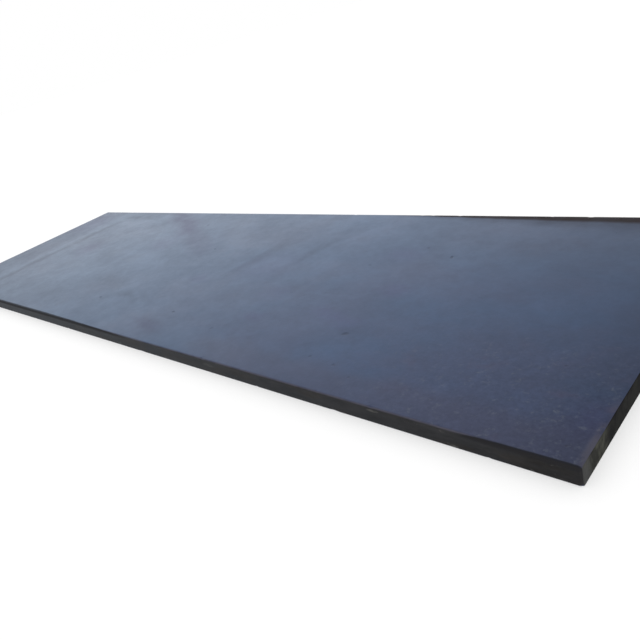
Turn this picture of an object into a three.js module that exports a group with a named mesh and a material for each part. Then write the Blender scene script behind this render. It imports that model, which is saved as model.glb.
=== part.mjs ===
// A length of hot-rolled mild steel flat bar: a wide, heavy flat with rolled long edges
// and two plain cut ends, lying on its wide face. Millimetres, +Z up.
//
// Frame: the origin is at the centre of the underside. +X runs along the bar's length,
// +Y across its width, and +Z through its thickness.
import * as THREE from "three";

// Driving dimensions of the bar.
const barLength = 1500; // cut length
const barWidth = 450; // rolled width
const barThickness = 20; // rolled thickness

// The mill's edging rolls leave every long corner slightly round.
const cornerRadius = 2;
const cornerSegments = 6; // facets in each quarter circle

// The cut ends are square, with the sharp edge just taken off.
const endBreak = 0.6;

// The rolled section, drawn in (across, up) with the middle of the underside at (0, 0).
function rolledSection(width, thickness, radius) {
  const side = width / 2;
  const inner = side - radius;
  const top = thickness - radius;
  const quarter = Math.PI / 2;

  const outline = new THREE.Shape();
  outline.moveTo(-inner, 0);
  outline.lineTo(inner, 0);
  outline.absarc(inner, radius, radius, -quarter, 0, false);
  outline.lineTo(side, top);
  outline.absarc(inner, top, radius, 0, quarter, false);
  outline.lineTo(-inner, thickness);
  outline.absarc(-inner, top, radius, quarter, 2 * quarter, false);
  outline.lineTo(-side, radius);
  outline.absarc(-inner, radius, radius, 2 * quarter, 3 * quarter, false);
  return outline;
}

// The bar drawn along its own +Z. The bevel takes endBreak off around both ends, and its
// offset keeps the full section everywhere between them.
function barGeometry() {
  const section = rolledSection(barWidth, barThickness, cornerRadius);
  const geometry = new THREE.ExtrudeGeometry(section, {
    depth: barLength - 2 * endBreak,
    curveSegments: cornerSegments,
    bevelEnabled: true,
    bevelThickness: endBreak,
    bevelSize: endBreak,
    bevelOffset: -endBreak,
    bevelSegments: 1,
  });
  geometry.translate(0, 0, endBreak - barLength / 2);
  return geometry;
}

// Hot-rolled mill scale: a dark blue-grey oxide skin with a dull sheen.
const millScale = new THREE.MeshStandardMaterial({
  name: "mill_scale",
  color: 0x4d5566,
  roughness: 0.45,
  metalness: 0.8,
});

const flatBar = new THREE.Mesh(barGeometry(), millScale);
flatBar.name = "flat_bar";
// Lays the extrusion's own Z along the part's X, and its own X and Y along the part's Y and Z.
flatBar.rotation.set(Math.PI / 2, Math.PI / 2, 0);

const bar = new THREE.Group();
bar.add(flatBar);

export default bar;
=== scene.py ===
import math
import random

import bmesh
import bpy
from mathutils import Matrix, Vector, noise


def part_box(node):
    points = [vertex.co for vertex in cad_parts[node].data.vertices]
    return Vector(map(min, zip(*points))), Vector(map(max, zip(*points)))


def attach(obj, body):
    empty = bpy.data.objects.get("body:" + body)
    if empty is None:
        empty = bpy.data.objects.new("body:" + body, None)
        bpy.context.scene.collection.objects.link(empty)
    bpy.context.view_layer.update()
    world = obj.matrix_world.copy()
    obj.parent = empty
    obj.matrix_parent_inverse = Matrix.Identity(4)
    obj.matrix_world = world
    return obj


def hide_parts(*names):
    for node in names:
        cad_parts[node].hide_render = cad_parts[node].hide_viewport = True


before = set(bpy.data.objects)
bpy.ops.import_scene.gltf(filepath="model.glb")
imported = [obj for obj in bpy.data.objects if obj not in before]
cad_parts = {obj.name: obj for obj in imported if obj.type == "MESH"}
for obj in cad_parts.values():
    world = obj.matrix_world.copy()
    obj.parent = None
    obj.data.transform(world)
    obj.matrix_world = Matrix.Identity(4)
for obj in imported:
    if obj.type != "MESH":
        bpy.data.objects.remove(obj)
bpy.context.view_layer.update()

barLow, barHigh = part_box("flat_bar")
length, width, thickness = barHigh - barLow
halfLength = length / 2
halfWidth = width / 2

scene = bpy.context.scene
scene.view_settings.view_transform = "Standard"
mm = 0.001
tiny = 1e-6


class Signal:
    # one output socket; arithmetic on it adds Math nodes
    def __init__(self, graph, socket):
        self.graph = graph
        self.socket = socket

    # another output of the same node
    def other(self, key):
        return Signal(self.graph, self.graph.find(self.socket.node.outputs, key))

    def math(self, operation, *others):
        values = dict(enumerate((self, *others)))
        return self.graph.node("ShaderNodeMath", {"operation": operation}, values)

    def __add__(self, other):
        return self.math("ADD", other)

    def __sub__(self, other):
        return self.math("SUBTRACT", other)

    def __rsub__(self, other):
        return self.graph.node("ShaderNodeMath", {"operation": "SUBTRACT"}, {0: other, 1: self})

    def __mul__(self, other):
        return self.math("MULTIPLY", other)

    __radd__ = __add__
    __rmul__ = __mul__

    def __truediv__(self, other):
        return self.math("DIVIDE", other)

    def __abs__(self):
        return self.math("ABSOLUTE")

    def atLeast(self, other):
        return self.math("MAXIMUM", other)

    def atMost(self, other):
        return self.math("MINIMUM", other)


class Graph:
    def __init__(self, tree):
        self.tree = tree
        tree.nodes.clear()

    # a node of this type: its settings first, then the values or links of its sockets
    def node(self, kind, settings=None, sockets=None, out=0):
        made = self.tree.nodes.new(kind)
        for name, value in (settings or {}).items():
            setattr(made, name, value)
        for key, value in (sockets or {}).items():
            self.plug(self.find(made.inputs, key), value)
        return Signal(self, self.find(made.outputs, out)) if made.outputs else None

    def find(self, sockets, key):
        if isinstance(key, int):
            return sockets[key]
        return next(s for s in sockets if s.identifier == key)

    def plug(self, socket, value):
        if isinstance(value, Signal):
            self.tree.links.new(value.socket, socket)
        elif isinstance(value, tuple) and len(value) == 3 and socket.type == "RGBA":
            socket.default_value = (*value, 1)
        else:
            socket.default_value = value

    def mix(self, share, first, second):
        return self.node("ShaderNodeMix", {"data_type": "RGBA"},
                         {"Factor_Float": share, "A_Color": first, "B_Color": second},
                         "Result_Color")

    # a colour made lighter or darker by a number
    def tone(self, colour, level):
        return self.node("ShaderNodeVectorMath", {"operation": "SCALE"},
                         {"Vector": colour, "Scale": level})

    def stretch(self, place, rates):
        return self.node("ShaderNodeVectorMath", {"operation": "MULTIPLY"}, {0: place, 1: rates})

    # 0 below low, 1 above high, smooth between; low may be the larger
    def smooth(self, value, low, high):
        return self.node("ShaderNodeMapRange", {"interpolation_type": "SMOOTHSTEP"},
                         {"Value": value, "From Min": low, "From Max": high})

    # cloudy noise from 0 to 1; the rates are cycles a metre along (x, y, z)
    def cloud(self, place, rates, detail, rough, warp=0.0):
        return self.node("ShaderNodeTexNoise", {"noise_dimensions": "3D"},
                         {"Vector": self.stretch(place, rates), "Scale": 1.0, "Detail": detail,
                          "Roughness": rough, "Distortion": warp})

    # cloudy noise from -0.5 to 0.5
    def drift(self, place, pattern):
        return self.cloud(place, *pattern) - 0.5

    # patches of cloudy noise; the pattern ends with the levels where one starts and is full
    def patches(self, place, pattern):
        *noisy, levels = pattern
        return self.smooth(self.cloud(place, *noisy), *levels)

    # scattered flecks, in a share of the cells; the smallest has this part of the full radius
    def flecks(self, place, rates, radius, smallest, share, soft):
        cell = self.node("ShaderNodeTexVoronoi", {"voronoi_dimensions": "3D", "feature": "F1"},
                         {"Vector": self.stretch(place, rates), "Scale": 1.0}, "Distance")
        draw = self.node("ShaderNodeSeparateColor", {}, {"Color": cell.other("Color")})
        reach = draw.other(1) * radius * (1 - smallest) + radius * smallest
        return self.smooth(cell / reach, 1.0, 1.0 - soft) * draw.math("LESS_THAN", share)

    # an area of the plan: where it starts and is full, along x and then along y
    def area(self, x, y, extent):
        alongX, alongY = extent
        return self.smooth(x, *alongX) * self.smooth(y, *alongY)


# a sum of signals, each by the weight given to its name
def weigh(total, signals, weights):
    for name, weight in weights.items():
        total = total + signals[name] * weight
    return total


view = {
    "aim": (0.3788, -0.1039),   # the point of the top face that it looks at
    "distance": 0.7658,
    "azimuth": 49.67,
    "elevation": 26.0,
    "roll": -17.417,
    "lens": 34.429,
    "sensor": 36,
    "clip": (0.01, 200),
}


def makeCamera():
    data = bpy.data.cameras.new("camera")
    data.lens = view["lens"]
    data.sensor_width = view["sensor"]
    data.clip_start, data.clip_end = view["clip"]
    camera = bpy.data.objects.new("camera", data)
    scene.collection.objects.link(camera)
    turn = Matrix.Rotation(math.radians(view["azimuth"]), 4, "Z")
    turn = turn @ Matrix.Rotation(math.radians(90 - view["elevation"]), 4, "X")
    back = turn @ Vector((0, 0, view["distance"]))
    roll = Matrix.Rotation(math.radians(view["roll"]), 4, "Z")
    aim = Vector((*view["aim"], thickness))
    camera.matrix_world = Matrix.Translation(aim + back) @ turn @ roll
    scene.camera = camera


studio = {
    "floorSize": 60,
    "floorColour": (0.5, 0.5, 0.5),
    "floorRoughness": 0.9,
    "floorGlow": 0.5,         # keeps the floor's shadows pale
    "white": (1, 1, 1),
    "backdrop": 1.0,          # brightness of the room where the camera sees it
    "level": 1.05,            # brightness of the room as light
    "softBox": 0.55,          # added by the large soft light at the back left
    "softBoxAzimuth": 143,    # turned from +X towards +Y
    "softBoxElevation": 24,
    "softBoxReach": (34, 8),  # degrees from its middle where it starts and is full
}


def makeFloor():
    bm = bmesh.new()
    bmesh.ops.create_grid(bm, x_segments=1, y_segments=1, size=studio["floorSize"] / 2)
    mesh = bpy.data.meshes.new("floor")
    bm.to_mesh(mesh)
    bm.free()
    floor = bpy.data.objects.new("floor", mesh)
    scene.collection.objects.link(floor)

    paint = bpy.data.materials.new("pale floor")
    paint.use_nodes = True
    g = Graph(paint.node_tree)
    shader = g.node("ShaderNodeBsdfPrincipled", {},
                    {"Base Color": studio["floorColour"], "Roughness": studio["floorRoughness"],
                     "Specular IOR Level": 0.0, "Emission Color": studio["white"],
                     "Emission Strength": studio["floorGlow"]})
    g.node("ShaderNodeOutputMaterial", {}, {"Surface": shader})
    mesh.materials.append(paint)


def makeLight():
    world = bpy.data.worlds.new("studio")
    scene.world = world
    world.use_nodes = True
    g = Graph(world.node_tree)
    turned = math.radians(studio["softBoxAzimuth"])
    raised = math.radians(studio["softBoxElevation"])
    toward = (math.cos(turned) * math.cos(raised), math.sin(turned) * math.cos(raised),
              math.sin(raised))
    way = g.node("ShaderNodeTexCoord", out="Generated")
    near = g.node("ShaderNodeVectorMath", {"operation": "DOT_PRODUCT"}, {0: way, 1: toward},
                  "Value")
    starts, full = (math.cos(math.radians(angle)) for angle in studio["softBoxReach"])
    level = studio["level"] + g.smooth(near, starts, full) * studio["softBox"]
    light = g.node("ShaderNodeBackground", {}, {"Color": studio["white"], "Strength": level})
    seen = g.node("ShaderNodeBackground", {},
                  {"Color": studio["white"], "Strength": studio["backdrop"]})
    toCamera = g.node("ShaderNodeLightPath", out="Is Camera Ray")
    both = g.node("ShaderNodeMixShader", {}, {0: toCamera, 1: light, 2: seen})
    g.node("ShaderNodeOutputWorld", {}, {"Surface": both})


bar = {
    "columns": 375,           # facets along the length
    "rows": 50,               # facets across the width
    "arrisRadius": 2 * mm,    # of the rolled long corners
    "arrisSteps": 5,
    "endBreak": 0.7 * mm,     # sharp edge taken off around each cut end
    "endSteps": 2,
    "sideCuts": (4 * mm, 6 * mm, 8 * mm, 10 * mm, 12 * mm, 14 * mm, 16 * mm),
    "endStrips": (0.9 * mm, 1.8 * mm, 3 * mm, 4.6 * mm),
    "endColumns": 9,          # cuts in each facet along a cut end
    "pitCuts": 4,             # cuts in each facet around a pit
    "pitRoom": 9 * mm,        # how far around a pit they go
    "nickCuts": 3,            # cuts in each facet along an arris beside a nick
    "nickRoom": 8 * mm,
    "smallest": 5,            # edges under one part in this many of the room stay whole
    "endFacing": 0.9,         # share of a normal along the length that marks a cut end
    "cutNear": 1e-7,          # points this near a cut lie on it
}

# Pits in the top face: (x, y) from the bar's middle, half length, half width, turn, depth.
pits = (
    (0.436, -0.122, 5.2 * mm, 3.4 * mm, 15, 0.19 * mm),
    (0.457, 0.085, 5.2 * mm, 2.2 * mm, -60, 0.23 * mm),
    (0.345, 0.045, 3.4 * mm, 2.0 * mm, -35, 0.12 * mm),
    (0.108, -0.147, 4.0 * mm, 2.6 * mm, -10, 0.20 * mm),
    (-0.122, -0.148, 5.0 * mm, 2.6 * mm, -20, 0.14 * mm),
    (-0.040, 0.058, 4.6 * mm, 2.2 * mm, -35, 0.14 * mm),
    (-0.190, 0.160, 5.0 * mm, 3.0 * mm, -30, 0.12 * mm),
    (0.466, -0.179, 2.6 * mm, 2.0 * mm, 0, 0.16 * mm),
    (0.426, -0.174, 2.4 * mm, 1.8 * mm, 0, 0.14 * mm),
    (0.499, -0.192, 2.2 * mm, 1.6 * mm, 10, 0.14 * mm),
    (0.227, -0.164, 3.2 * mm, 2.0 * mm, 20, 0.14 * mm),
    (0.405, 0.108, 3.0 * mm, 2.0 * mm, -50, 0.12 * mm),
    (0.691, -0.108, 2.0 * mm, 1.4 * mm, 30, 0.14 * mm),
)

# Nicks in the long arrises that have a place of their own: x, side, level, half size, depth.
placedNicks = (
    (-0.123, -1, 1, 4 * mm, 0.5 * mm),
    (0.552, -1, 1, 3 * mm, 0.7 * mm),
    (0.629, -1, 1, 3 * mm, 0.4 * mm),
)

# Layers of the noise. Kinds of wear in different layers have nothing in common.
layers = {"top": 0, "underside": 5, "peel": 2, "side": 3, "swing": 4, "drag": 8, "endWave": 6,
          "pit": 1}

# A rate is cycles a metre along the two directions of its face.
wear = {
    "seed": 7,
    "ripple": 0.10 * mm,         # long waves left by the rolls
    "rippleRate": (6, 9),
    "sideRate": (9, 40),
    "sideBand": (6 * mm, 2 * mm),  # in from a long edge: where its own waves start, are full
    "peel": 0.035 * mm,          # short unevenness of the scale
    "peelRate": (45, 60),
    "edgeDrop": 0.10 * mm,       # fall of the wide faces beside the long edges
    "edgeReach": 16 * mm,
    "crown": 0.112 * mm,         # bulge of the long edges at half height
    "drag": 0.12 * mm,           # depth of the lines that cutting left on the ends
    "dragPitch": 3.4 * mm,
    "dragLag": 1.6 * mm,         # how far a line trails at the bottom
    "dragSwing": 0.5,            # how much the lines wander, in pitches
    "dragSwingRate": (60, 60),
    "dragLeast": 0.4,            # share of its depth that a line always keeps
    "dragRate": (90, 20),
    "endBand": (0.95 * mm, 0.5 * mm),   # in from a cut end, where the lines lie
    "endWave": 0.16 * mm,        # longer unevenness of the cut ends
    "endWaveRate": (22, 45),
    "rollOver": 0.25 * mm,       # fall of the wide faces at the cut ends
    "rollOverReach": 5 * mm,
    "rollOverRate": (30, 1),
    "rollOverLeast": 0.5,        # share of the fall that there always is
    "cornerRollOver": 0.75 * mm,  # more of it on top, at the front corner of the right end
    "cornerReach": (0.0225, 0.075),     # back from the front edge, where it is full and is gone
    "pitWindow": 20 * mm,        # no pit reaches further than this
    "pitSkin": 0.1 * mm,         # how far below the top face a point still takes the pits
    "pitWall": (0.3, 1.1),       # half sizes from its middle where a pit's wall starts and ends
    "pitRagged": (0.8, 0.5),     # least stretch of its outline, and how much that varies
    "pitRate": (300, 300),
    "moreNicks": 26,             # further ones, drawn at random
    "nickRun": 0.98,             # share of the length that they lie in
    "nickDepth": (0.25 * mm, 0.8 * mm),  # least and most
    "nickSize": (1.6 * mm, 4.5 * mm),
    "nickWindow": 5 * mm,        # a nick reaches no further from its arris
    "nickSpread": 2 * mm,        # its half size across the arris
    "nickTail": 3,               # half sizes along the arris where a nick has faded out
    "cornerKnock": 1.6 * mm,     # depth of the rounding of the upright corners
    "cornerSize": 1.7 * mm,      # half size of that rounding
    "slant": 0.7,                # share of a bite that goes in along each face at a corner
}


def cutAcross(bm, point, normal):
    geometry = [*bm.verts, *bm.edges, *bm.faces]
    bmesh.ops.bisect_plane(bm, geom=geometry, dist=bar["cutNear"], plane_co=point,
                           plane_no=normal)


def buildBlock():
    bm = bmesh.new()
    # a grid one metre square, scaled to the bar's plan
    bmesh.ops.create_grid(bm, x_segments=bar["columns"], y_segments=bar["rows"], size=0.5)
    bmesh.ops.scale(bm, vec=(length, width, 1), verts=bm.verts)
    lifted = bmesh.ops.extrude_face_region(bm, geom=list(bm.faces))
    up = [v for v in lifted["geom"] if isinstance(v, bmesh.types.BMVert)]
    bmesh.ops.translate(bm, vec=(0, 0, thickness), verts=up)
    bmesh.ops.recalc_face_normals(bm, faces=bm.faces)
    for height in bar["sideCuts"]:
        cutAcross(bm, (0, 0, height), (0, 0, 1))
    return bm


def roundEdges(bm, edges, radius, steps):
    bmesh.ops.bevel(bm, geom=edges, offset=radius, offset_type="OFFSET", affect="EDGES",
                    segments=steps, profile=0.5, material=-1, clamp_overlap=False)


def roundArrises(bm):
    corners = []
    for edge in bm.edges:
        a, b = (v.co for v in edge.verts)
        outer = min(abs(a.y), abs(b.y)) > halfWidth - tiny
        low = max(a.z, b.z) < tiny
        high = min(a.z, b.z) > thickness - tiny
        if outer and (low or high):
            corners.append(edge)
    roundEdges(bm, corners, bar["arrisRadius"], bar["arrisSteps"])


def finishEnds(bm):
    for side in (-1, 1):
        for inset in bar["endStrips"]:
            cutAcross(bm, (side * (halfLength - inset), 0, 0), (1, 0, 0))
    reflectionRim = []
    for edge in bm.edges:
        if min(abs(v.co.x) for v in edge.verts) > halfLength - tiny:
            if sum(abs(f.normal.x) > bar["endFacing"] for f in edge.link_faces) == 1:
                reflectionRim.append(edge)
    roundEdges(bm, reflectionRim, bar["endBreak"], bar["endSteps"])
    outermost = halfLength - bar["endStrips"][0] - tiny
    coarse = width / bar["rows"] / 2
    across = []
    for edge in bm.edges:
        a, b = (v.co for v in edge.verts)
        if min(abs(a.x), abs(b.x)) > outermost and abs(a.y - b.y) > coarse:
            across.append(edge)
    bmesh.ops.subdivide_edges(bm, edges=across, cuts=bar["endColumns"], use_grid_fill=True)


def refineAt(bm, points, reach, cuts):
    close = []
    for edge in bm.edges:
        middle = (edge.verts[0].co + edge.verts[1].co) / 2
        if any((middle - point).length < reach for point in points):
            if edge.calc_length() > reach / bar["smallest"]:
                close.append(edge)
    bmesh.ops.subdivide_edges(bm, edges=close, cuts=cuts, use_grid_fill=True)


def drawNicks():
    random.seed(wear["seed"])
    found = list(placedNicks)
    for _ in range(wear["moreNicks"]):
        x = random.uniform(-wear["nickRun"], wear["nickRun"]) * halfLength
        size = random.uniform(*wear["nickSize"])
        depth = random.uniform(*wear["nickDepth"])
        found.append((x, random.choice((-1, 1)), random.choice((0, 1)), size, depth))
    return found


def fade(value, start, end):
    share = min(max((value - start) / (end - start), 0), 1)
    return share * share * (3 - 2 * share)


# noise from 0 to 1; every layer of it is different
def rough(first, second, rates, layer):
    return 0.5 + 0.5 * noise.noise(Vector((first * rates[0], second * rates[1], layer)))


def faceFall(p, top):
    layer = layers["top"] if top else layers["underside"]
    fall = wear["ripple"] * rough(p.x, p.y, wear["rippleRate"], layer)
    fall += wear["peel"] * rough(p.x, p.y, wear["peelRate"], layer + layers["peel"])
    fall += wear["edgeDrop"] * fade(abs(p.y), halfWidth - wear["edgeReach"], halfWidth) ** 2
    beside = (1 - fade(halfLength - abs(p.x), 0, wear["rollOverReach"])) ** 2
    least = wear["rollOverLeast"]
    uneven = least + (1 - least) * rough(p.y, p.x, wear["rollOverRate"], layer)
    fall += wear["rollOver"] * beside * uneven
    if top and p.x > 0:
        corner = 1 - fade(p.y + halfWidth, *wear["cornerReach"])
        fall += wear["cornerRollOver"] * beside * corner
    return fall


# how far a point lies along and across a turned pit, in its half sizes
def acrossPit(dx, dy, turn, halfLong, halfWide):
    c, s = math.cos(math.radians(turn)), math.sin(math.radians(turn))
    return dx * (c / halfLong) + dy * (s / halfLong), dy * (c / halfWide) - dx * (s / halfWide)


def pitFall(p):
    fall = 0
    least, varied = wear["pitRagged"]
    for x, y, halfLong, halfWide, turn, depth in pits:
        dx, dy = p.x - x, p.y - y
        if abs(dx) + abs(dy) < wear["pitWindow"]:
            along, over = acrossPit(dx, dy, turn, halfLong, halfWide)
            ragged = least + varied * rough(p.x, p.y, wear["pitRate"], layers["pit"])
            fall += depth * (1 - fade(math.hypot(along, over) * ragged, *wear["pitWall"]))
    return fall


def endFall(p):
    trail = wear["dragLag"] * (1 - p.z / thickness) ** 2
    swing = wear["dragSwing"] * rough(p.y, p.z, wear["dragSwingRate"], layers["swing"])
    phase = (p.y + trail) / wear["dragPitch"] + swing
    lines = wear["drag"] * (0.5 - 0.5 * math.cos(2 * math.pi * phase))
    least = wear["dragLeast"]
    lines *= least + (1 - least) * rough(p.y, p.z, wear["dragRate"], layers["drag"])
    return lines + wear["endWave"] * rough(p.y, p.z, wear["endWaveRate"], layers["endWave"])


def sideFall(p):
    starts, full = wear["sideBand"]
    arch = (p.z / thickness * 2 - 1) ** 2
    layer = math.copysign(layers["side"], p.y)
    waves = wear["ripple"] * rough(p.x, p.z, wear["sideRate"], layer)
    return fade(abs(p.y), halfWidth - starts, halfWidth - full) * (wear["crown"] * arch + waves)


def nickBite(p, x, side, level, size, depth):
    inward = halfWidth - side * p.y
    upward = p.z - level * thickness
    if max(inward, abs(upward)) > wear["nickWindow"] or abs(p.x - x) > wear["nickTail"] * size:
        return 0
    away = math.hypot(inward, upward) / wear["nickSpread"]
    return depth * wear["slant"] * math.exp(-((p.x - x) / size) ** 2 - away ** 2)


def cornerKnock(p):
    toCorner = math.hypot(halfLength - abs(p.x), halfWidth - abs(p.y)) / wear["cornerSize"]
    return wear["cornerKnock"] * wear["slant"] * math.exp(-toCorner ** 2)


def wearIn(bm, nicks):
    starts, full = wear["endBand"]
    for vert in bm.verts:
        p = vert.co.copy()
        down = max(p.z / thickness * 2 - 1, 0) * faceFall(p, True)
        up = max(1 - p.z / thickness * 2, 0) * faceFall(p, False)
        if p.z > thickness - wear["pitSkin"]:
            down += pitFall(p)
        inward = sideFall(p)
        beside = abs(p.y) > halfWidth - wear["nickWindow"]
        for x, side, level, size, depth in nicks if beside else ():
            bite = nickBite(p, x, side, level, size, depth)
            inward += bite
            down += bite * level
            up += bite * (1 - level)
        knock = cornerKnock(p)
        back = fade(abs(p.x), halfLength - starts, halfLength - full) * endFall(p) + knock
        inward += knock
        vert.co = (p.x - math.copysign(back, p.x), p.y - math.copysign(inward, p.y),
                   p.z - down + up)


def makeBar():
    bm = buildBlock()
    roundArrises(bm)
    finishEnds(bm)
    pitPlaces = [Vector((pit[0], pit[1], thickness)) for pit in pits]
    refineAt(bm, pitPlaces, bar["pitRoom"], bar["pitCuts"])
    nicks = drawNicks()
    nickPlaces = [Vector((x, side * halfWidth, level * thickness)) for x, side, level, *_ in nicks]
    refineAt(bm, nickPlaces, bar["nickRoom"], bar["nickCuts"])
    wearIn(bm, nicks)
    bmesh.ops.recalc_face_normals(bm, faces=bm.faces)
    for facet in bm.faces:
        facet.smooth = True
    mesh = bpy.data.meshes.new("steel_bar")
    bm.to_mesh(mesh)
    triangles = sum(len(f.verts) - 2 for f in bm.faces)
    unclosed = sum(len(e.link_faces) != 2 for e in bm.edges)
    print("bar:", triangles, "triangles,", unclosed, "open edges")
    bm.free()
    piece = bpy.data.objects.new("steel_bar", mesh)
    scene.collection.objects.link(piece)
    evened = piece.modifiers.new("even shading", "WEIGHTED_NORMAL")
    evened.keep_sharp = False
    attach(piece, "root")
    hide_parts("flat_bar")
    return piece


# Faint marks on the top face, among them a painted shadow and a painted reflection: start, end,
# half width, bow of the line, and strength. A mark above 0 is glossier and lighter, one below 0
# is duller and darker.
strokes = (
    # these two: a wide diagonal dark band from the back left, a painted shadow
    ((-0.430, 0.252), (-0.200, 0.118), 0.028, 0.002, -2.4),
    ((-0.250, 0.142), (-0.040, 0.034), 0.024, 0.004, -1.2),
    ((-0.140, 0.130), (0.090, 0.020), 0.018, 0.010, 0.6),
    ((0.094, 0.120), (0.080, -0.046), 0.006, 0.004, 0.8),
    ((0.114, 0.110), (0.100, -0.040), 0.013, 0.002, -0.9),
    ((0.150, 0.110), (0.130, -0.020), 0.012, 0.002, 0.5),
    ((0.216, 0.115), (0.180, -0.010), 0.011, 0.003, -0.8),
    ((0.290, 0.180), (0.212, 0.050), 0.009, -0.014, 0.9),
    ((0.198, 0.090), (0.195, -0.030), 0.008, 0.003, -0.9),
    ((0.228, -0.020), (0.290, -0.055), 0.009, 0.003, -0.5),
    ((0.290, -0.010), (0.272, -0.095), 0.008, 0.004, 0.9),
    ((0.300, -0.050), (0.400, -0.042), 0.004, 0.003, 0.8),
    ((0.045, -0.181), (0.115, -0.186), 0.010, 0.002, -1.9),
    ((0.082, -0.192), (0.140, -0.204), 0.007, 0.002, -1.5),
    ((0.170, -0.200), (0.290, -0.206), 0.010, 0.002, -0.8),
    ((-0.230, -0.080), (-0.100, -0.120), 0.018, 0.004, -1.6),
    ((-0.100, -0.124), (-0.010, -0.145), 0.010, 0.004, -1.4),
    ((-0.380, -0.160), (-0.250, -0.170), 0.024, 0.004, -1.0),
    # these two: a dark line across the top face near the left end, with a lighter streak beside it
    ((-0.583, -0.240), (-0.577, 0.178), 0.014, 0.004, -2.6),
    ((-0.612, -0.240), (-0.607, 0.176), 0.009, 0.004, 0.9),
    ((-0.600, 0.188), (-0.420, 0.190), 0.011, 0.002, -2.0),
    ((-0.620, 0.216), (-0.300, 0.214), 0.010, 0.002, -1.2),
    ((-0.510, 0.160), (-0.360, 0.110), 0.048, 0.000, 1.0),
    ((-0.310, 0.020), (-0.110, -0.030), 0.040, 0.000, 0.6),
    ((-0.400, -0.080), (-0.260, -0.100), 0.030, 0.000, 0.5),
    ((-0.110, 0.190), (-0.010, 0.150), 0.030, 0.000, 0.4),
    ((0.020, 0.130), (0.070, 0.110), 0.024, 0.000, -0.5),
    ((-0.130, -0.190), (-0.020, -0.120), 0.018, 0.000, 0.6),
    ((-0.520, -0.050), (-0.440, -0.110), 0.040, 0.000, 0.4),
    ((-0.520, 0.060), (-0.440, 0.000), 0.030, 0.000, -0.7),
    # these two: a lighter band inside the back edge, beside its dark rim, a painted reflection
    ((0.400, 0.172), (0.780, 0.152), 0.024, 0.003, 1.2),
    ((0.020, 0.185), (0.450, 0.165), 0.045, 0.003, 0.5),
    ((0.594, -0.178), (0.604, -0.182), 0.008, 0.001, 1.3),
    ((0.612, -0.010), (0.628, -0.022), 0.006, 0.001, 1.0),
    ((0.668, -0.028), (0.676, -0.046), 0.005, 0.001, 1.0),
    ((0.666, -0.100), (0.684, -0.086), 0.005, 0.001, 1.0),
    ((0.662, -0.130), (0.674, -0.121), 0.004, 0.001, 1.0),
)

# Purplish patches on the top face, in the same form.
tints = (
    # these two tint the painted shadow band purplish
    ((-0.430, 0.252), (-0.200, 0.118), 0.036, 0.002, 0.9),
    ((-0.250, 0.142), (-0.040, 0.034), 0.030, 0.004, 0.5),
    ((0.040, -0.182), (0.135, -0.196), 0.014, 0.002, 0.4),
    ((0.120, 0.020), (0.190, 0.010), 0.050, 0.000, 0.7),
    ((0.350, 0.090), (0.410, 0.080), 0.022, 0.000, 0.6),
    ((0.240, -0.050), (0.260, -0.070), 0.026, 0.000, 0.5),
    ((0.350, -0.080), (0.440, -0.105), 0.014, 0.000, 0.8),
    ((0.250, -0.118), (0.290, -0.124), 0.012, 0.000, 0.6),
    ((0.410, -0.010), (0.450, -0.018), 0.016, 0.000, 0.6),
    ((0.030, -0.040), (0.070, -0.050), 0.018, 0.000, 0.7),
    ((-0.270, 0.080), (-0.190, 0.050), 0.030, 0.000, 0.8),
    ((-0.520, 0.030), (-0.430, 0.000), 0.034, 0.000, 0.9),
    ((0.734, -0.190), (0.742, -0.150), 0.020, 0.000, 0.7),
    ((-0.750, 0.150), (-0.640, 0.140), 0.060, 0.000, 0.7),
)

marking = {
    "sideSoft": 1.5,          # half widths from its line to where a mark has faded out
    "endSoft": 0.12,          # share of its length that an end takes to be full
    "endMost": 0.45,
    "pitShade": 0.08,         # dirt in the shallowest pit; a deeper one holds more
    "pitSoft": (1.6, 0.1),    # square of the half sizes from its middle: dirt starts, is full
}


def drawMarks(g, x, y, table):
    marksAndPaintedLight = 0
    for start, end, halfWide, bow, shade in table:
        run = Vector(end) - Vector(start)
        reach = run.length
        run = run / reach
        dx, dy = x - start[0], y - start[1]
        along = dx * (run.x / reach) + dy * (run.y / reach)
        bent = along * (1 - along) * (4 * bow)
        over = dy * run.x - dx * run.y - bent
        body = g.smooth(abs(over), halfWide * marking["sideSoft"], 0.0)
        spill = halfWide / reach
        full = 0.5 - min(spill + marking["endSoft"], marking["endMost"])
        ends = g.smooth(abs(along - 0.5), 0.5 + spill, full)
        marksAndPaintedLight = body * ends * shade + marksAndPaintedLight
    return marksAndPaintedLight


def pitMask(g, x, y):
    mask = 0
    for pitX, pitY, halfLong, halfWide, turn, depth in pits:
        along, over = acrossPit(x - pitX, y - pitY, turn, halfLong, halfWide)
        shade = min(1.0, marking["pitShade"] + depth / mm)
        mask = g.smooth(along * along + over * over, *marking["pitSoft"]) * shade + mask
    return mask


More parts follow.
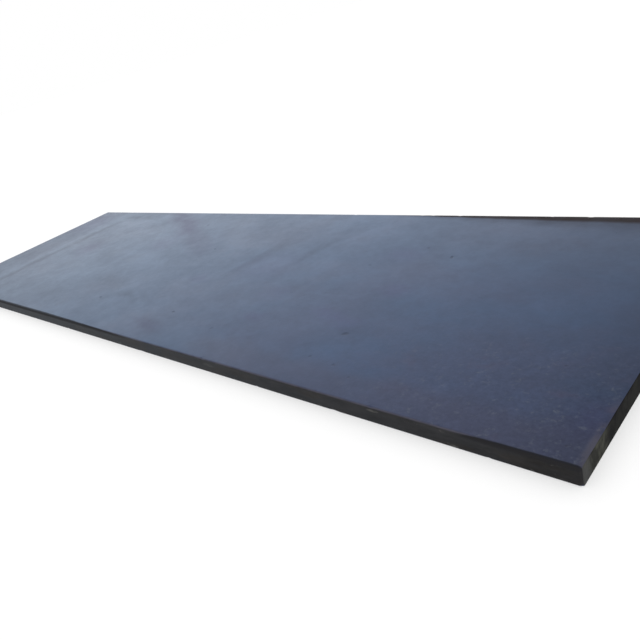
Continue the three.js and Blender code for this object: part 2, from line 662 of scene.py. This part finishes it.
# The wide faces. A pattern is cycles a metre along (x, y, z), detail and roughness, and where it
# makes patches, the levels where one starts and is full. An area is where it starts and is full
# along x, then along y.
wideFace = {
    "blue": (0.0345, 0.0540, 0.1010),
    "purple": (0.041, 0.052, 0.094),
    "brown": (0.047, 0.047, 0.074),
    "plum": (0.041, 0.0475, 0.098),
    "scuff": (0.085, 0.097, 0.125),
    "rust": (0.058, 0.047, 0.074),
    "dirt": (0.016, 0.019, 0.028),
    "dust": (0.059, 0.059, 0.084),
    "violet": (0.074, 0.042, 0.112),
    # the colour of the painted dark reflection along the back edge
    "reflectionRim": (0.027, 0.020, 0.018),

    "topLevels": (0.4, 0.6),            # shares of the thickness where the top's marks begin
    "wander": 30 * mm,                  # twice the most that a mark strays from its line
    "wanderX": ((23, 26, 26), 3, 0.6),
    "wanderY": ((25, 24, 31), 3, 0.6),
    "pitWander": 0.1,                   # the pits' share of it
    "hue": ((4, 7, 20), 5, 0.6, (0.40, 0.72)),
    "browned": ((11, 16, 30), 4, 0.6, (0.54, 0.72)),
    "rusted": ((32, 32, 32), 3, 0.6, (0.56, 0.74)),
    "speckle": ((130, 130, 130), 4, 0.75, (0.54, 0.76)),
    "clouds": ((13, 16, 40), 4, 0.6),
    "blotches": ((42, 48, 60), 4, 0.6),
    "blotchShare": 0.55,
    "grain": ((120, 130, 130), 4, 0.6),
    "fine": ((270, 290, 270), 3, 0.6),
    "waves": ((70, 95, 95), 3, 0.55),
    "pores": ((500, 500, 500), 2, 0.55),
    "specks": ((44, 44, 44), 0.07, 0.4, 0.20, 0.35),   # rates, radius, smallest, share, softness
    "speckShade": 0.35,

    "corner": ((0.42, 0.66), (-0.02, -0.15)),     # scuffed corner at the front right
    "frontStrip": ((0.16, 0.32), (-0.168, -0.196)),
    "backWarmth": ((0.20, 0.50), (0.0, 0.19)),
    "lighter": ((0.05, 0.30), (-0.10, 0.02)),
    "rightEnd": (0.68, 0.74),
    "leftEnd": (-0.61, -0.66),

    "rimFrom": 0.17,                    # x where the dark rim along the back edge, a painted dark reflection, has no width
    "rimSlope": 0.053,
    "rimRagged": 8 * mm,
    "rimDrift": ((20, 26, 26), 4, 0.6),
    "rimRun": (0.22, 0.38),
    "rimInner": 0.6,                    # share of its width where it is full
    "rimSoft": 1 * mm,
    "hazeOuter": 2.3,                   # share of its width where the painted reflection's haze beside it starts

    "cornerHue": 0.5,
    "tinted": 0.6,
    "scuffed": 0.55,
    # what each pattern and area adds
    "brownness": {"browned": 0.18, "frontStrip": 0.42, "backWarmth": 0.35},
    "tone": {"clouding": 0.15, "grain": 0.24, "fine": 0.50, "marksAndPaintedLight": 0.06, "corner": -0.05,
             "rightEnd": -0.14, "lighter": 0.09},
    # how strong a pattern is anywhere, and how much more in the scuffed corner
    "inCorner": {"fine": (0.3, 0.7), "speckle": (0.10, 1.0), "rusted": (0.04, 0.25)},
    "thinFilm": 0.08,
    "film": {"clouding": -0.37, "marksAndPaintedLight": -0.062, "leftEnd": 0.16, "grain": -0.07, "dirty": 0.3,
             "reflectionRim": 0.85, "reflectionHaze": 0.28},
    "thickFilm": 0.95,
    "roughness": 0.31,
    "roughnessChange": {"clouding": -0.05, "grain": -0.05, "dirty": 0.3, "speckle": 0.08},
    "relief": {"waves": 0.030, "pores": 0.006, "specks": -0.08, "speckle": 0.01},   # in mm
}


def faceSkin(g, place, x, y, z):
    onTop = g.smooth(z, *(thickness * share for share in wideFace["topLevels"]))
    wanderX = x + g.drift(place, wideFace["wanderX"]) * wideFace["wander"]
    wanderY = y + g.drift(place, wideFace["wanderY"]) * wideFace["wander"]
    tinted = (drawMarks(g, wanderX, wanderY, tints) * onTop).atMost(1.0)
    corner = g.area(x, y, wideFace["corner"]) * onTop
    signals = {
        "marksAndPaintedLight": drawMarks(g, wanderX, wanderY, strokes) * onTop,
        "corner": corner,
        "browned": g.patches(place, wideFace["browned"]),
        "frontStrip": g.area(x, wanderY, wideFace["frontStrip"]) * onTop,
        "backWarmth": g.area(x, y, wideFace["backWarmth"]) * onTop,
        "lighter": g.area(x, y, wideFace["lighter"]),
        "rightEnd": g.smooth(x, *wideFace["rightEnd"]),
        "leftEnd": g.smooth(x, *wideFace["leftEnd"]) * onTop,
        "clouding": (g.drift(place, wideFace["clouds"])
                     + g.drift(place, wideFace["blotches"]) * wideFace["blotchShare"]),
        "grain": g.drift(place, wideFace["grain"]),
        "fine": g.drift(place, wideFace["fine"]),
        "speckle": g.patches(place, wideFace["speckle"]),
        "rusted": g.patches(place, wideFace["rusted"]),
        "waves": g.cloud(place, *wideFace["waves"]),
        "pores": g.cloud(place, *wideFace["pores"]),
        "specks": g.flecks(place, *wideFace["specks"]) * wideFace["speckShade"],
    }
    for name, (anywhere, more) in wideFace["inCorner"].items():
        signals[name] = signals[name] * (corner * more + anywhere)

    # blue scale drifting to purple, brownish beside the front and back edges
    hue = (g.patches(place, wideFace["hue"]) + corner * wideFace["cornerHue"]).atMost(1.0)
    colour = g.mix(hue, wideFace["blue"], wideFace["purple"])
    colour = g.mix(weigh(0, signals, wideFace["brownness"]).atMost(1.0), colour, wideFace["brown"])
    colour = g.mix(tinted * wideFace["tinted"], colour, wideFace["plum"])
    colour = g.tone(colour, weigh(1, signals, wideFace["tone"]))
    colour = g.mix(signals["speckle"] * wideFace["scuffed"], colour, wideFace["scuff"])
    colour = g.mix(signals["rusted"], colour, wideFace["rust"])

    # dirt: scattered specks and the pits
    strays, stays = wideFace["pitWander"], 1 - wideFace["pitWander"]
    pitted = pitMask(g, wanderX * strays + x * stays, wanderY * strays + y * stays) * onTop
    signals["dirty"] = (signals["specks"] + pitted).atMost(1.0)
    colour = g.mix(signals["dirty"], colour, wideFace["dirt"])

    # dull film: mottled, and thick over a rim along the back edge, a painted dark reflection,
    # with a painted haze of that reflection beside it
    rimWide = (x - wideFace["rimFrom"]) * wideFace["rimSlope"]
    rimWide = rimWide + g.drift(place, wideFace["rimDrift"]) * wideFace["rimRagged"]
    inside = halfWidth - y
    run = g.smooth(x, *wideFace["rimRun"]) * onTop
    full = rimWide * wideFace["rimInner"]
    signals["reflectionRim"] = g.smooth(inside, rimWide, full - wideFace["rimSoft"]) * run
    reflectionHaze = g.smooth(inside, rimWide * wideFace["hazeOuter"], full) * run
    signals["reflectionHaze"] = reflectionHaze * (1 - signals["reflectionRim"])
    film = weigh(wideFace["thinFilm"], signals, wideFace["film"])
    film = film.atLeast(0.0).atMost(wideFace["thickFilm"])
    filmColour = g.mix(reflectionHaze, g.mix(tinted, wideFace["dust"], wideFace["violet"]), wideFace["reflectionRim"])
    roughness = weigh(wideFace["roughness"], signals, wideFace["roughnessChange"])
    return {"colour": colour, "roughness": roughness,
            "relief": weigh(0, signals, wideFace["relief"]), "film": film,
            "filmColour": filmColour}


# Chips in the skin of the front long edge: x, height, half long, half high, strength.
chips = (
    (0.554, 16.0 * mm, 7 * mm, 1.4 * mm, 0.60),
    (0.631, 16.2 * mm, 3 * mm, 1.4 * mm, 0.35),
    (0.290, 12.0 * mm, 11 * mm, 2.4 * mm, 0.25),
    (0.060, 4.0 * mm, 9 * mm, 1.8 * mm, 0.40),
)

# The long edges, with patterns as on the wide faces.
longEdge = {
    # the long edges' colours are their own dark scale, kept darker still as painted shade
    "charcoal": (0.0295, 0.029, 0.0305),
    "brown": (0.0325, 0.029, 0.027),
    "chip": (0.110, 0.106, 0.100),

    "streaks": ((12, 120, 160), 4, 0.6),
    "specks": ((160, 300, 300), 3, 0.6),
    "blotches": ((24, 80, 90), 5, 0.7),
    "browned": ((17, 60, 60), 4, 0.6, (0.45, 0.62)),
    "brownness": 0.7,
    "lowerHeights": (0.8, 0.1),         # shares of the thickness
    "lowerRun": (0.3, -0.2),
    "rightEnd": (0.62, 0.72),
    "tone": {"streaks": 0.34, "specks": 0.30, "blotches": 1.5, "lower": 0.04, "rightEnd": -0.22},

    "flaking": ((90, 170, 170), 3, 0.6),          # small chips anywhere
    "flakeLevels": (0.66, 0.80),
    "flakeShade": 0.5,
    "footHeights": (8 * mm, 3 * mm),    # more of them below these
    "footShare": 0.06,
    "ragged": ((160, 260, 260), 3, 0.6, (0.34, 0.54)),
    "frontOnly": (0.1, -0.1),           # y that tells the front edge from the back one
    "chipSoft": (1.6, 0.2),             # square of the half sizes: a chip starts, is full

    "film": 0.45,
    "filmDrift": ((20, 90, 90), 4, 0.6),
    "filmChange": 0.5,
    "roughness": 0.50,
    "roughnessChange": 0.15,
    "rolled": ((14, 260, 300), 3, 0.55),
    "pores": ((420, 420, 420), 2, 0.55),
    "relief": {"rolled": 0.05, "pores": 0.012, "chipped": -0.08},   # in mm
}


def sideSkin(g, place, x, y, z):
    heights = (thickness * share for share in longEdge["lowerHeights"])
    signals = {
        "lower": g.smooth(z, *heights) * g.smooth(x, *longEdge["lowerRun"]),
        "rightEnd": g.smooth(x, *longEdge["rightEnd"]),
        "streaks": g.drift(place, longEdge["streaks"]),
        "specks": g.drift(place, longEdge["specks"]),
        "blotches": g.drift(place, longEdge["blotches"]),
        "rolled": g.cloud(place, *longEdge["rolled"]),
        "pores": g.cloud(place, *longEdge["pores"]),
    }
    tone = weigh(1, signals, longEdge["tone"])
    browned = g.patches(place, longEdge["browned"]) * longEdge["brownness"]
    colour = g.tone(g.mix(browned, longEdge["charcoal"], longEdge["brown"]), tone)

    flaking = g.cloud(place, *longEdge["flaking"])
    flaking = flaking + g.smooth(z, *longEdge["footHeights"]) * longEdge["footShare"]
    chipped = g.smooth(flaking, *longEdge["flakeLevels"]) * longEdge["flakeShade"]
    ragged = g.patches(place, longEdge["ragged"]) * g.smooth(y, *longEdge["frontOnly"])
    for chipX, height, halfLong, halfHigh, strength in chips:
        along, over = (x - chipX) / halfLong, (z - height) / halfHigh
        spot = g.smooth(along * along + over * over, *longEdge["chipSoft"])
        chipped = spot * ragged * strength + chipped
    signals["chipped"] = chipped.atMost(1.0)
    colour = g.mix(signals["chipped"], colour, longEdge["chip"])
    film = longEdge["film"] + g.drift(place, longEdge["filmDrift"]) * longEdge["filmChange"]
    roughness = longEdge["roughness"] + (tone - 1) * longEdge["roughnessChange"]
    return {"colour": colour, "roughness": roughness,
            "relief": weigh(0, signals, longEdge["relief"]), "film": film, "filmColour": colour}


# The cut ends, with patterns as on the wide faces; the blot's has a warp after its roughness.
cutEnd = {
    # the ends' dark colour is their own oxide, kept darker still as painted shade
    "dark": (0.0075, 0.0075, 0.008),
    "olive": (0.050, 0.051, 0.042),
    "bright": (0.058, 0.059, 0.058),

    "blot": ((60, 85, 60), 4, 0.6, 0.4, (0.40, 0.60)),
    "blotShade": 0.15,
    "rightOnly": (0, 0.1),              # x that tells the right end from the left one
    "fresh": (-0.168, -0.186),          # y where the right end's paler patch starts, is full
    "freshShade": 0.35,
    "freshBlot": 0.5,
    "worn": (-0.205, -0.217),           # y where its rubbed front corner starts, is full
    "wornShade": 0.85,
    "streaks": ((200, 260, 90), 3, 0.6),
    "streakTone": 0.5,
    "roughness": 0.70,
    "wornSmoother": 0.1,
    "sawn": ((60, 700, 60), 3, 0.55),
    "pores": ((260, 260, 260), 3, 0.55),
    "relief": {"sawn": 0.06, "pores": 0.05},      # in mm
}


def cutSkin(g, place, x, y):
    rightEnd = g.smooth(x, *cutEnd["rightOnly"])
    blot = g.patches(place, cutEnd["blot"])
    fresh = g.smooth(y, *cutEnd["fresh"]) * rightEnd
    olive = blot * cutEnd["blotShade"] + fresh * (blot * cutEnd["freshBlot"] + cutEnd["freshShade"])
    colour = g.mix(olive, cutEnd["dark"], cutEnd["olive"])
    worn = g.smooth(y, *cutEnd["worn"]) * rightEnd
    colour = g.mix(worn * cutEnd["wornShade"], colour, cutEnd["bright"])
    colour = g.tone(colour, 1 + g.drift(place, cutEnd["streaks"]) * cutEnd["streakTone"])
    signals = {name: g.cloud(place, *cutEnd[name]) for name in ("sawn", "pores")}
    return {"colour": colour, "roughness": cutEnd["roughness"] - worn * cutEnd["wornSmoother"],
            "relief": weigh(0, signals, cutEnd["relief"]), "film": 1.0, "filmColour": colour}


# one finish passing into another
def blend(g, share, first, second):
    made = {name: g.mix(share, first[name], second[name]) for name in ("colour", "filmColour")}
    for name in ("roughness", "relief", "film"):
        made[name] = first[name] + share * (second[name] - first[name])
    return made


# Where one finish passes into the next. Depths are in from the nearest face, edge or end.
arris = {
    # the light colour of the rubbed arrises: real wear and a painted highlight
    "rubbedAndHighlight": (0.078, 0.076, 0.098),
    # colour of the dull dark strip along the front top arris
    "darkStrip": (0.022, 0.0205, 0.0205),

    "sideDepth": (0.9 * mm, 0.35 * mm),
    "sideDeeper": (3 * mm, 2 * mm),     # as deep as that between the two rounds
    "between": (1.5 * mm, 2.1 * mm),    # from a wide face, where a long edge's flat begins
    "cutDepth": (0.75 * mm, 0.5 * mm),

    "roundRise": (0.05 * mm, 0.9 * mm),  # out past the start of a round, where it is rubbed light and painted with a highlight
    "worn": ((45, 45, 45), 4, 0.6, (0.30, 0.60)),
    "rubbedShade": 0.3,
    "rubbedMore": 0.6,

    "leftRun": (0.24, -0.22),           # x where the left's dull strip starts and is full
    "leftWide": 5.2 * mm,
    "rightRun": (0.61, 0.69),
    "rightWide": 3.4 * mm,
    "dullNarrow": 0.6 * mm,
    "dullSoft": 1.6 * mm,
    "dullRagged": 1.4 * mm,
    "dullDrift": ((35, 35, 35), 4, 0.6),
    "dullLevels": (0.7, 0.9),           # shares of the thickness
    "dullRougher": 0.2,
    "dullFilm": 0.35,

    "lipDepth": (8 * mm, 2 * mm),       # rubbed lip of the right end, beside the front corner
    "lipRun": (-0.130, -0.180),
    "lipBelow": (3 * mm, 2 * mm),
    "lipWorn": ((70, 50, 70), 3, 0.6, (0.38, 0.62)),
    "lipShade": 0.75,

    "uprightDepth": (3 * mm, 0.8 * mm),  # the knocked upright corners
    "uprightShade": 0.8,
    "uprightFilm": 0.9,
}


# every arris rubbed light, partly real wear and partly a painted highlight; a dull dark
# strip along the front top one, towards both ends
def wearArris(g, place, x, y, z, deepest, finish):
    around = g.smooth(bar["arrisRadius"] - deepest, *arris["roundRise"])
    worn = g.patches(place, arris["worn"])
    rubbedAndHighlight = around * (worn * arris["rubbedMore"] + arris["rubbedShade"])
    lip = g.smooth(halfLength - x, *arris["lipDepth"]) * g.smooth(y, *arris["lipRun"])
    lip = lip * g.smooth(z, *(thickness - depth for depth in arris["lipBelow"]))
    lip = lip * g.patches(place, arris["lipWorn"])
    rubbedAndHighlight = rubbedAndHighlight.atLeast(lip * arris["lipShade"])
    colour = g.mix(rubbedAndHighlight, finish["colour"], arris["rubbedAndHighlight"])

    wide = g.smooth(x, *arris["leftRun"]) * arris["leftWide"]
    wide = wide + g.smooth(x, *arris["rightRun"]) * arris["rightWide"]
    wide = wide + g.drift(place, arris["dullDrift"]) * arris["dullRagged"] - arris["dullNarrow"]
    dull = g.smooth(halfWidth + y, wide, wide - arris["dullSoft"])
    dull = dull * g.smooth(z, *(thickness * share for share in arris["dullLevels"]))
    return {"colour": g.mix(dull, colour, wideFace["dirt"]),
            "roughness": finish["roughness"] + dull * arris["dullRougher"],
            "relief": finish["relief"], "film": finish["film"] + dull * arris["dullFilm"],
            "filmColour": g.mix(dull, finish["filmColour"], arris["darkStrip"])}


steel = {
    "sheen": (0.86, 0.93, 1.0),         # tint of the bare scale's glancing reflections
    "filmRoughness": 0.8,
    "filmGlint": 0.05,
}


def makeSkin():
    skin = bpy.data.materials.new("mill scale")
    skin.use_nodes = True
    g = Graph(skin.node_tree)
    place = g.node("ShaderNodeTexCoord", out="Object")
    x = g.node("ShaderNodeSeparateXYZ", {}, {"Vector": place}, "X")
    y, z = x.other("Y"), x.other("Z")

    # depths in from the nearest wide face, long edge and end
    fromFace = thickness / 2 - abs(z - thickness / 2)
    fromSide = halfWidth - abs(y)
    fromEnd = halfLength - abs(x)
    between = g.smooth(fromFace, *arris["between"])
    onSide = g.smooth(fromSide, *arris["sideDepth"])
    onSide = onSide.atLeast(g.smooth(fromSide, *arris["sideDeeper"]) * between)
    onCut = g.smooth(fromEnd, *arris["cutDepth"])
    upright = g.smooth(fromEnd + fromSide, *arris["uprightDepth"]) * between

    finish = blend(g, onSide, faceSkin(g, place, x, y, z), sideSkin(g, place, x, y, z))
    finish = wearArris(g, place, x, y, z, fromSide.atLeast(fromFace), finish)
    finish = blend(g, onCut, finish, cutSkin(g, place, x, y))
    film = finish["film"] + upright * (arris["uprightFilm"] - finish["film"])
    filmColour = g.mix(upright * arris["uprightShade"], finish["filmColour"], cutEnd["bright"])

    # satin scale, and a dull film that hides more or less of it
    bump = g.node("ShaderNodeBump", {},
                  {"Strength": 1.0, "Distance": mm, "Height": finish["relief"]})
    scale = g.node("ShaderNodeBsdfPrincipled", {},
                   {"Base Color": finish["colour"], "Metallic": 1.0,
                    "Roughness": finish["roughness"], "Specular Tint": steel["sheen"],
                    "Normal": bump})
    dulled = g.node("ShaderNodeBsdfPrincipled", {},
                    {"Base Color": filmColour, "Roughness": steel["filmRoughness"],
                     "Specular IOR Level": steel["filmGlint"], "Normal": bump})
    both = g.node("ShaderNodeMixShader", {}, {0: film, 1: scale, 2: dulled})
    g.node("ShaderNodeOutputMaterial", {}, {"Surface": both})
    return skin


makeCamera()
makeFloor()
makeLight()
print("camera, floor and light are in place")
steelBar = makeBar()
print("bar is modelled")
steelBar.data.materials.append(makeSkin())
print("skin is on")
